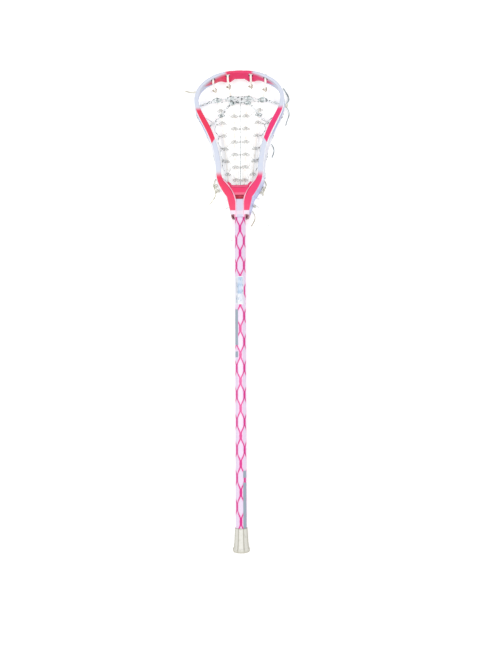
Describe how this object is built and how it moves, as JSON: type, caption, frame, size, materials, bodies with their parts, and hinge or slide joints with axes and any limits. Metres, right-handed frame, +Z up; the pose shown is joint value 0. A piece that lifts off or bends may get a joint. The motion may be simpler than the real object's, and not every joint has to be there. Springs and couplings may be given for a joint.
{
  "type": "lacrosse stick",
  "caption": "Field lacrosse stick with a moulded head, a traditional strung pocket, an octagonal metal shaft and a rubber butt cap, lying face up.",
  "frame": {"origin": "on the floor under the middle of the stick, half way between the butt and the tip of the scoop", "axes": "+Y along the shaft from the butt to the scoop, +Z up out of the open face of the head, +X to the right of the pocket"},
  "size_m": [0.2274, 1, 0.0439],
  "materials": {
    "head_plastic": "moulded nylon, dye-faded from hot pink to pale lavender blue",
    "stop_foam": "closed-cell foam pad",
    "shaft_print": "pale lavender enamel with a magenta net print",
    "label_film": "thin polyester film",
    "cap_rubber": "off-white moulded rubber",
    "screw_steel": "plated steel",
    "thong_hide": "white split hide thong",
    "lace_nylon": "twisted nylon lace",
    "shooter_cord": "braided nylon cord with a dark fleck",
    "tail_cord": "loose nylon string ends"
  },
  "bodies": {
    "stick": {"head_frame": "head_plastic", "ball_stop": "stop_foam", "shaft_tube": "shaft_print", "shaft_label": "label_film", "head_screw": "screw_steel", "centre_string": "lace_nylon", "throat_string": "lace_nylon", "thong_outer_left": "thong_hide", "thong_inner_left": "thong_hide", "thong_inner_right": "thong_hide", "thong_outer_right": "thong_hide", "crosslace_left": "lace_nylon", "crosslace_centre": "lace_nylon", "crosslace_right": "lace_nylon", "sidewall_string_left": "lace_nylon", "sidewall_string_right": "lace_nylon", "shooting_string_straight": "shooter_cord", "shooting_string_u": "shooter_cord", "tail_scoop_left": "tail_cord", "tail_shooter_right_up": "tail_cord", "tail_shooter_right_down": "tail_cord", "tail_side_right": "tail_cord", "tail_throat_right": "tail_cord", "tail_curl_right": "tail_cord", "tail_loop_right": "tail_cord", "tail_neck_right": "tail_cord", "tail_throat_left": "tail_cord", "tail_loop_left": "tail_cord"},
    "butt": {"end_cap": "cap_rubber"}
  },
  "joints": [
    {"name": "cap_pull", "type": "slide", "parent": "stick", "child": "butt", "axis": [0, -1, 0], "range_m": [0, 0.045]}
  ]
}
